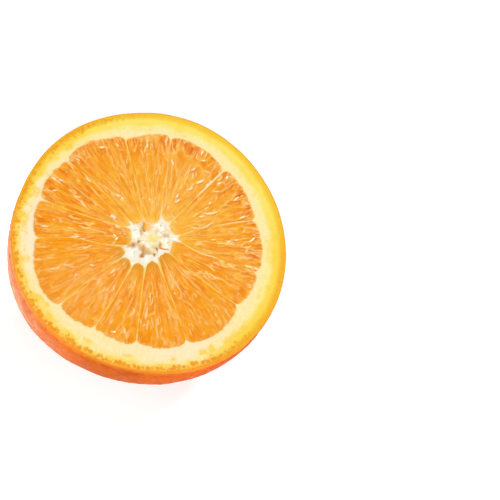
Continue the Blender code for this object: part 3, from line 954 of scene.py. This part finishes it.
class Flow:
    """Which way the sacs of a segment run: out from a point near its tip, a little wavy."""

    def __init__(self, row):
        tip = SEGMENTS[row][2]
        at_tip = np.array([tip + 3.0])
        self.middle = (wall_bearing(row, at_tip)[0] + wall_bearing(row + 1, at_tip)[0]) / 2
        self.focus = max(2.0, tip - 3.4) * np.array([math.cos(self.middle), math.sin(self.middle)])

    def polar(self, x, y):
        fx, fy = x - self.focus[0], y - self.focus[1]
        turn = np.arctan2(fy, fx) - self.middle
        return np.hypot(fx, fy), np.mod(turn + math.pi, 2 * math.pi) - math.pi

    def direction(self, x, y):
        _, turn = self.polar(x, y)
        return turn + self.middle + 0.55 * (fbm(x / 7.0 + 3, y / 7.0 + 3, 121, 2) - 0.5)


def scatter_sacs(row, flow, rng):
    """Juice sacs of one segment: middle, direction, half length, width and random marks."""
    tip = SEGMENTS[row][2]
    sacs = []
    mids = np.zeros((0, 2))
    for _ in range(2600):
        r = math.sqrt(rng.uniform((tip - 0.5) ** 2, 35.5**2))
        a, b = wall_bearing(row, np.array([r]))[0], wall_bearing(row + 1, np.array([r]))[0]
        across = rng.rand()
        turn = a + (b - a) * across
        inside = float(outer_edge(row, np.array([across]))[0]) - r
        p = r * np.array([math.cos(turn), math.sin(turn)])
        way = float(flow.direction(p[0], p[1]))
        d = np.array([math.cos(way), math.sin(way)])
        deep = float(smooth((inside - 0.9) / 4.5))
        wide = 0.95 + 0.40 * deep * min(1.0, r / 26.0) - 0.25 * float(smooth((15.0 - r) / 8.0))
        long = 1.5 + 3.9 * deep
        if len(mids):
            away = p - mids
            along = away @ d
            side = away @ np.array([-d[1], d[0]])
            if np.any((along / long) ** 2 + (side / wide) ** 2 < 1.0):
                continue
        mids = np.concatenate([mids, p[None]])
        half = 0.52 * long * rng.uniform(0.7, 1.25)
        sacs.append((p[0], p[1], d[0], d[1], half, rng.uniform(0.8, 1.25), *rng.rand(4)))
    return np.array(sacs)


def sac_cells(sacs, px, py):
    """For each point its nearest sac, the next one, the gap and the place inside the sac."""
    best = np.full(px.shape, 1e9)
    second = np.full(px.shape, 1e9)
    which = np.zeros(px.shape, int)
    other = np.zeros(px.shape, int)
    place = np.zeros(px.shape)
    for k, (cx, cy, dx, dy, half, wide, *_rest) in enumerate(sacs):
        ax, ay = px - cx, py - cy
        along = ax * dx + ay * dy
        across = -ax * dy + ay * dx
        over = np.maximum(np.abs(along) - half, 0.0)
        d = np.sqrt(across**2 + (0.50 * over) ** 2) / wide
        closer = d < best
        runner = ~closer & (d < second)
        other = np.where(closer, which, np.where(runner, k, other))
        second = np.where(closer, best, np.where(runner, d, second))
        which = np.where(closer, k, which)
        place = np.where(closer, across / wide, place)
        best = np.where(closer, d, best)
    return best, second, which, other, place


def fibres(rho, psi, rng):
    """Thin skins between the sacs, cut across and seen as fine pale lines that run inwards."""
    line = np.zeros_like(rho)
    high = rho.max()
    bunches = rng.uniform(-0.34, 0.34, 13)
    for _ in range(34):
        at = bunches[rng.randint(13)] + rng.normal(0, 0.035)
        start = rng.uniform(-2.0, high - 4.0)
        length = rng.uniform(3.0, 13.0)
        width = rng.uniform(0.09, 0.17)
        strength = 0.25 + 0.75 * rng.rand() ** 1.6
        sway = rng.uniform(0.08, 0.35)
        phase = rng.uniform(0, 6.28)
        across = rho * (psi - at) - sway * np.sin(rho / rng.uniform(1.6, 3.4) + phase)
        along = smooth((rho - start) / 0.8) * smooth((start + length - rho) / 0.8)
        line = np.maximum(line, strength * along * np.exp(-((across / width) ** 2)))
    return line


def painted_glint_strokes(x, y, r, border, flow, clusters, rng):
    """Painted glints: small highlights painted along the sacs, long and narrow, each over a small wet swelling."""
    out = np.zeros_like(x)
    made = 0
    while made < clusters:
        k = rng.randint(x.size)
        if rng.rand() > 0.15 + 0.85 * float(smooth((r.flat[k] - 9.0) / 13.0)) or border.flat[k] < 0.4:
            continue
        made += 1
        bright = rng.uniform(0.35, 1.0)
        way = float(flow.direction(x.flat[k], y.flat[k]))
        for _ in range(rng.randint(1, 5)):
            turn = way + rng.normal(0, 0.18)
            dx, dy = math.cos(turn), math.sin(turn)
            out_by, off_by = rng.normal(0, 1.3), rng.normal(0, 0.75)
            cx = x.flat[k] + out_by * math.cos(way) - off_by * math.sin(way)
            cy = y.flat[k] + out_by * math.sin(way) + off_by * math.cos(way)
            half = rng.uniform(0.30, 1.25)
            wide = rng.uniform(0.11, 0.22)
            bend = rng.normal(0, 0.12)
            along = (x - cx) * dx + (y - cy) * dy
            across = -(x - cx) * dy + (y - cy) * dx - bend * along**2
            lens = np.sqrt(np.clip(1.0 - (along / (1.2 * half)) ** 2, 0.0, 1.0))
            shape = np.exp(-((across / (wide * (0.35 + 0.65 * lens))) ** 2)) * smooth(lens / 0.5)
            out = np.maximum(out, bright * rng.uniform(0.5, 1.0) * shape)
    return out * smooth(border / 0.3)


def build_segment(row):
    rng = np.random.RandomState(100 + row)
    r_mid = np.array([29.0])
    arc = (wall_bearing(row + 1, r_mid)[0] - wall_bearing(row, r_mid)[0]) * 30.5
    across_count = int(arc / FLESH_STEP[0])
    along_count = int((32.5 - SEGMENTS[row][2]) / FLESH_STEP[1])
    u = np.linspace(0.0, 1.0, across_count)[None, :]
    v = np.linspace(0.0, 1.0, along_count)[:, None]
    low = inner_edge(row, u[0])[None, :] - FLESH_BED
    high = outer_edge(row, u[0])[None, :] + FLESH_BED
    r = low + (high - low) * v
    here = wall_bearing(row, r) + (wall_half(row, r) - FLESH_BED) / r
    after = wall_bearing(row + 1, r) - (wall_half(row + 1, r) - FLESH_BED) / r
    turn = here + (after - here) * u
    x, y = r * np.cos(turn), r * np.sin(turn)
    width = (after - here) * r
    side = np.minimum(u, 1.0 - u) * width
    end = np.minimum(v, 1.0 - v) * (high - low)
    border = np.minimum(side, end)
    inside = high - r

    tip = SEGMENTS[row][2]
    flow = Flow(row)
    sacs = scatter_sacs(row, flow, rng)
    px = x + 0.55 * (fbm(x / 2.6 + 11, y / 2.6 + 5, 91, 2) - 0.5)
    py = y + 0.55 * (fbm(x / 2.6 + 31, y / 2.6 + 45, 93, 2) - 0.5)
    best, second, which, other, place = sac_cells(sacs, px, py)
    share = np.clip(2.0 * best / (best + second), 0.0, 1.0)
    gap = second - best
    mark_a, mark_b, mark_c, mark_d = (sacs[which, k] for k in (6, 7, 8, 9))
    pair = np.abs(np.sin(np.minimum(which, other) * 12.99 + np.maximum(which, other) * 78.23) * 437.5) % 1.0

    rho, psi = flow.polar(x, y)
    line = fibres(rho, psi, rng)
    painted_glint = painted_glint_strokes(x, y, r, border, flow, 11 if row >= 8 else 7, rng)
    glint_shadow = np.zeros_like(x)
    # Painted glints: near-white streaks with pale tails are painted at the listed places, broken up along their length.
    for cx, cy, long, wide, degrees in GLINTS:
        if np.min(np.hypot(x - cx, y - cy)) > 0.4:
            continue
        a = math.radians(degrees)
        along = (x - cx) * math.cos(a) + (y - cy) * math.sin(a)
        across = -(x - cx) * math.sin(a) + (y - cy) * math.cos(a) - 0.10 * along**2
        across = across + 0.22 * (noise(along / 0.5 + 5.0 * cy, 0.0 * along + cx, 143) - 0.5)
        torn = 0.35 + 1.2 * noise(along / 0.42 + 7.0 * cx, across / 0.3 + 3.0 * cy, 141)
        lens = np.sqrt(np.clip(1.0 - (along / (1.25 * long)) ** 2, 0.0, 1.0))
        shape = np.exp(-((across / (0.78 * wide * (0.3 + 0.7 * lens))) ** 2)) * smooth(lens / 0.4)
        tail = np.exp(-((across / 0.16) ** 2)) * smooth((2.6 * long - np.abs(along)) / 0.8)
        painted_glint = np.maximum(painted_glint, np.clip(1.25 * shape * torn, 0, 1))
        painted_glint = np.maximum(painted_glint, 0.30 * tail)
        glint_shadow = np.maximum(glint_shadow, np.exp(-(((across + 1.5 * wide) / 0.2) ** 2)) * smooth(lens / 0.4))
    bundle = fbm(psi * 17.0 + 13.0 * row + 300, rho / 5.5 + row, 101, 3)
    fibre = fbm(psi * 60.0 + 17.0 * row + 900, rho / 3.0 + row, 105, 2)
    vein = fbm(psi * 32.0 + 7.0 * row + 500, rho / 2.1 + row, 107, 2)
    cloud = fbm(x / 4.5 + 60, y / 4.5 + 60, 108, 2)
    patch = fbm(x / 1.7 + 160, y / 1.7 + 160, 109, 2)
    crumb = fbm(x / 0.5 + 90, y / 0.5 + 90, 111, 2)
    thread = fbm(x / 1.4 + 9, y / 1.4 + 9, 95, 2)
    calm = smooth((fbm(x / 7.0 + 70, y / 7.0 + 70, 131, 2) - 0.52) / 0.12) * smooth((inside - 3.0) / 3.0)
    frayed_and_glint = np.zeros_like(x)
    for cx, cy, long, wide in FRAYED_AND_GLINTS:
        reach = ((x - cx) / long) ** 2 + ((y - cy) / wide) ** 2
        frayed_and_glint = np.maximum(frayed_and_glint, np.clip(1.7 * np.exp(-reach), 0, 1))
    specks = frayed_and_glint * smooth((0.42 - crumb) / 0.10)
    frayed_and_glint = frayed_and_glint * smooth((crumb - 0.44) / 0.10)

    # relief: whole sacs swell, opened ones sink between their skins
    swell = 0.13 * smooth((mark_a - 0.10) / 0.5) * (1.0 - 0.6 * calm)
    dome = np.cos(0.5 * math.pi * share) ** 2
    height = (1.3 * swell * (0.75 + 0.9 * (thread - 0.5)) + 0.08 * (mark_b - 0.5)) * dome
    skin = smooth((pair + 0.9 * (thread - 0.5) - 0.40) / 0.35) * (1.0 - 0.6 * calm)
    membrane = skin * np.exp(-((gap / 0.24) ** 2))
    height = height + 0.02 * membrane + 0.01 * line + 0.05 * painted_glint + 0.08 * frayed_and_glint
    height = height + 0.06 * (bundle - 0.5) + 0.03 * (fibre - 0.5) + 0.03 * (crumb - 0.5)
    height = height + 0.12 * (cloud - 0.5) - 0.20
    height = mix(-0.06, height, smooth((border - 0.05) / 0.45))

    # colour
    dark, deep, mid, warm = rgb(230, 104, 0), rgb(245, 130, 0), rgb(252, 151, 2), rgb(255, 174, 14)
    light, peach, pale = rgb(255, 190, 60), rgb(252, 176, 82), rgb(255, 216, 136)
    near_rim = smooth((5.4 - inside) / 4.2)
    lower = smooth((math.cos(flow.middle - math.radians(290.0)) + 0.1) / 0.8)
    lit = smooth(0.5 + 0.55 * place * np.where(mark_d > 0.35, 1.0, -1.0))
    colour = mix(deep, warm, lit * (0.85 - 0.35 * near_rim))
    colour = mix(colour, mid, 0.35)
    colour = mix(colour, dark, smooth((mark_b - 0.30) / 0.4) * (0.30 + 0.65 * near_rim) * smooth((1.0 - share) / 0.5))
    colour = mix(colour, peach, 0.50 * smooth((mark_c - 0.70) / 0.2) * smooth((cloud - 0.35) / 0.25) * (1.0 - 0.7 * near_rim))
    colour = mix(colour, warm, 0.45 * smooth((bundle - 0.48) / 0.2))
    colour = mix(colour, light, (0.32 + 0.12 * near_rim) * smooth((patch - 0.52) / 0.16))
    colour = mix(colour, dark, (0.17 + 0.10 * lower + 0.36 * near_rim) * smooth((0.48 - patch) / 0.16))
    colour = mix(colour, light, 0.20 * smooth((fibre - 0.52) / 0.2))
    colour = mix(colour, rgb(255, 198, 88), 0.34 * smooth((vein - 0.55) / 0.12))
    colour = mix(colour, rgb(238, 124, 0), 0.34 * smooth((0.43 - vein) / 0.12))
    colour = mix(colour, mix(light, pale, skin), (0.15 + (0.70 + 0.12 * lower) * skin) * np.exp(-((gap / 0.27) ** 2)))
    colour = mix(colour, pale, (0.52 + 0.14 * lower) * line)
    # Painted shade: small dark specks where the crumb noise is low.
    colour = mix(colour, rgb(232, 118, 0), 0.35 * smooth((0.33 - crumb) / 0.12) * (1.0 - 0.6 * calm))
    # Painted shadow: a dark orange line beside each listed glint.
    colour = mix(colour, rgb(222, 108, 0), 0.7 * glint_shadow)
    # Painted glints: the flesh turns pale, then near-white, along each glint.
    colour = mix(colour, rgb(255, 218, 136), smooth(painted_glint / 0.45))
    colour = mix(colour, 1.06 * rgb(255, 250, 226), smooth((painted_glint - 0.40) / 0.45))
    # The frayed spots, partly torn white bits and partly painted glints, turn near-white.
    colour = mix(colour, rgb(255, 242, 214), 0.9 * frayed_and_glint)
    colour = mix(colour, rgb(214, 128, 10), 0.7 * specks)
    colour = mix(colour, light, 0.55 * np.exp(-((side / 0.28) ** 2)) * smooth((thread - 0.35) / 0.3))
    upper = smooth((math.cos(flow.middle - math.radians(100.0)) + 0.1) / 0.8)
    colour = mix(colour, rgb(255, 198, 70), upper * (0.24 * smooth((29.0 - r) / 5.0) + 0.25 * smooth((18.0 - r) / 8.0)))
    colour = mix(colour, rgb(250, 150, 0), 0.25 * lower)
    colour = mix(colour, rgb(252, 167, 0), 0.38 * lower * smooth((r - 18.0) / 8.0))
    west = smooth((math.cos(flow.middle - math.radians(155.0)) - 0.6) / 0.4)
    colour = mix(colour, rgb(248, 148, 0), 0.20 * west * smooth((r - 20.0) / 8.0))
    tip_tone = mix(rgb(255, 184, 40), rgb(238, 142, 8), lower)
    colour = mix(colour, tip_tone, 0.6 * smooth((tip + 5.0 - r) / 5.0))
    olive = np.exp(-(((border - 0.65) / 0.50) ** 2)) * smooth((tip + 5.5 - r) / 4.0) * lower
    colour = mix(colour, rgb(216, 160, 36), 0.60 * olive)
    fade = (0.6 + 1.1 * thread) * (1.0 - 0.40 * lower)
    glow = mix(rgb(255, 208, 100), rgb(246, 186, 74), lower)
    colour = mix(colour, glow, (0.85 - 0.20 * lower) * np.exp(-(((r - low) / fade) ** 2)))
    colour = mix(colour, rgb(255, 206, 120), 0.6 * np.exp(-((inside / 0.35) ** 2)))

    top = np.stack([x, y, CUT_Z + np.minimum(height, 0.08)], axis=-1).reshape(-1, 3)
    tints = colour.reshape(-1, 3)
    rows, columns = x.shape
    quads = grid_quads(rows, columns, False)
    index = np.arange(rows * columns).reshape(rows, columns)
    loop = np.concatenate([index[0, :-1], index[:-1, -1], index[-1, :0:-1], index[:0:-1, 0]])
    middle = top.mean(axis=0)
    total = len(top)
    below = top[loop].copy()
    below[:, :2] = middle[:2] + (below[:, :2] - middle[:2]) * 0.985
    below[:, 2] = CUT_Z - POCKET_DEPTH + 0.03
    verts = np.concatenate([top, below, [[middle[0], middle[1], CUT_Z - POCKET_DEPTH + 0.03]]])
    colours = np.concatenate([tints, tints[loop], tints[:1]])
    lower_loop = np.arange(total, total + len(loop))
    sides = np.stack([loop, np.roll(loop, -1), np.roll(lower_loop, -1), lower_loop], 1)[:, ::-1]
    quads = np.concatenate([quads, sides])
    last = total + len(loop)
    tris = np.stack([lower_loop, np.roll(lower_loop, -1), np.full(len(lower_loop), last)], 1)[:, ::-1]
    return make_mesh(f"segment_{row + 1:02d}", verts, quads, tris, colours, sharp=72.0)


def flesh_material():
    n = Nodes("juicy_flesh")
    tint = n.attribute("tint")
    fine = n.noise(1300.0, 4.0)
    colour = n.blend(tint, (0.82, 0.40, 0.06), n.ramp(fine, 0.5, 0.8, 0.0, 0.22))
    colour = n.blend(colour, (0.70, 0.19, 0.0), n.ramp(n.noise(620.0, 3.0), 0.55, 0.8, 0.0, 0.25))
    n.set(
        Base_Color=colour,
        Roughness=n.ramp(fine, 0.3, 0.7, 0.30, 0.45),
        Normal=n.bump(fine, 0.30, 0.05),
        IOR=1.34,
        Specular_IOR_Level=0.1,
        Coat_Weight=0.4,
        Coat_Roughness=0.07,
        Coat_IOR=1.36,
        Subsurface_Weight=0.25,
        Subsurface_Radius=(1.0, 0.3, 0.1),
        Subsurface_Scale=0.4 * MM,
    )
    return n.material


# ------------------------------------------------- floor, light and camera


def build_floor():
    import bmesh

    mesh = bmesh.new()
    bmesh.ops.create_grid(mesh, x_segments=2, y_segments=2, size=8.0)
    data = bpy.data.meshes.new("floor")
    mesh.to_mesh(data)
    mesh.free()
    floor = bpy.data.objects.new("floor", data)
    bpy.context.scene.collection.objects.link(floor)
    floor.location.z = -0.00005
    n = Nodes("pale_floor")
    grain = n.ramp(n.noise(60.0, 3.0), 0.3, 0.7, 0.93, 0.95)
    n.set(Base_Color=n.blend((0.0, 0.0, 0.0), (1.0, 1.0, 1.0), grain), Roughness=0.8, IOR=1.2)
    # a light table, brightest beside the fruit, where the skin's left side mirrors it
    away = n.add("ShaderNodeVectorMath", operation="DISTANCE")
    n.put(away.inputs[0], n.position())
    away.inputs[1].default_value = (-0.056, -0.008, 0.0)
    n.set(
        Emission_Color=(1.0, 1.0, 1.0, 1.0),
        Emission_Strength=n.ramp(away.outputs["Value"], 0.012, 0.042, 1.8, 0.2, "SMOOTHSTEP"),
    )
    floor.data.materials.append(n.material)


def area_light(name, direction, distance, size, watts, colour=(1.0, 1.0, 1.0)):
    light = bpy.data.lights.new(name, "AREA")
    light.shape = "DISK"
    light.size = size
    light.energy = watts
    light.color = colour
    lamp = bpy.data.objects.new(name, light)
    bpy.context.scene.collection.objects.link(lamp)
    direction = Vector(direction).normalized()
    target = Vector((0.0, 0.0, CUT_Z * MM))
    lamp.location = target + direction * distance
    lamp.rotation_euler = direction.to_track_quat("Z", "Y").to_euler()


def build_light():
    # A pale room, darker in the patch of it that the flat cut face mirrors.
    world = bpy.data.worlds.new("studio")
    world.use_nodes = True
    tree = world.node_tree
    background = tree.nodes["Background"]
    background.inputs["Color"].default_value = (1.0, 1.0, 1.0, 1.0)
    way = tree.nodes.new("ShaderNodeTexCoord").outputs["Generated"]
    dot = tree.nodes.new("ShaderNodeVectorMath")
    dot.operation = "DOT_PRODUCT"
    tree.links.new(way, dot.inputs[0])
    dot.inputs[1].default_value = Vector((-0.067, 0.424, 0.903)).normalized()
    glow = tree.nodes.new("ShaderNodeMapRange")
    tree.links.new(dot.outputs["Value"], glow.inputs["Value"])
    for key, number in (("From Min", 0.70), ("From Max", 0.90), ("To Min", 0.56), ("To Max", 0.14)):
        glow.inputs[key].default_value = number
    tree.links.new(glow.outputs["Result"], background.inputs["Strength"])
    bpy.context.scene.world = world
    # Three small bright lamps round the cut face's mirror direction wake the wet glints.
    area_light("lamp_a", (-0.29, 0.36, 0.89), 1.2, 0.14, 1.6)
    area_light("lamp_b", (0.12, 0.56, 0.82), 1.2, 0.14, 1.6)
    area_light("lamp_c", (0.17, 0.29, 0.94), 1.2, 0.14, 1.6)
    area_light("softbox", (0.35, -0.50, 0.80), 1.3, 0.7, 6.5)
    area_light("front", (-0.10, -0.80, 0.58), 1.3, 0.6, 3.0)
    area_light("side", (-0.80, -0.45, 0.45), 1.3, 0.7, 4.5)


def build_camera():
    """Over the cut face, at 27 degrees from straight down on it, with the picture's roll."""
    right = Vector((0.80234, 0.53024, 0.27404))
    up = Vector((-0.59687, 0.71277, 0.36838))
    back = Vector((0.0, -0.45913, 0.88837))
    data = bpy.data.cameras.new("camera")
    data.sensor_width = 36.0
    data.lens = 91.22
    data.clip_start, data.clip_end = 0.01, 10.0
    camera = bpy.data.objects.new("camera", data)
    bpy.context.scene.collection.objects.link(camera)
    place = Vector((24.05 - SHIFT_X, -151.92 - SHIFT_Y, 323.68 + CUT_Z)) * MM
    turn = Matrix((right, up, back)).transposed()
    camera.matrix_world = Matrix.Translation(place) @ turn.to_4x4()
    bpy.context.scene.camera = camera


def main():
    skin = build_skin()
    skin.data.materials.append(skin_material())
    pith = build_pith()
    pith.data.materials.append(pith_material())
    flesh = flesh_material()
    segments = [build_segment(row) for row in range(COUNT)]
    for piece in segments:
        piece.data.materials.append(flesh)
    for piece, slot in [(skin, "peel"), (pith, "pith")] + [(s, "flesh") for s in segments]:
        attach(piece, "root")
        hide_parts("orange_half")
    build_floor()
    build_light()
    build_camera()
    scene = bpy.context.scene
    scene.view_settings.view_transform = "Standard"
    scene.view_settings.look = "None"


main()
